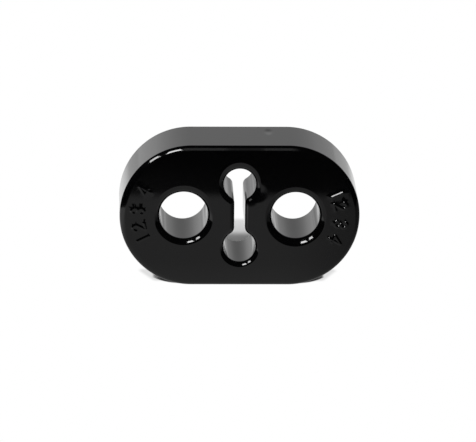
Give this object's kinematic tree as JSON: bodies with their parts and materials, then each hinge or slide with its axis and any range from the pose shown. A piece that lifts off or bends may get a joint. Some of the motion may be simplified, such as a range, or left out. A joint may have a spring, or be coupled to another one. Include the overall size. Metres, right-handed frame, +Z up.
{
  "type": "exhaust hanger",
  "caption": "Oval block of black polyurethane with a bore at each end for a hanger rod and a slotted relief between them. It holds an exhaust pipe under a car and soaks up its shaking.",
  "frame": {"origin": "middle of the long flat side that the block stands on", "axes": "+X along the block's length, from bore to bore, +Y through its thickness, from the front face with the rounded edges to the back face, +Z up, from the lower relief hole to the upper one"},
  "size_m": [0.0742, 0.0254, 0.0444],
  "materials": {
    "polyurethane": "gloss"
  },
  "bodies": {
    "root": {"hanger_block": "polyurethane"}
  },
  "joints": []
}
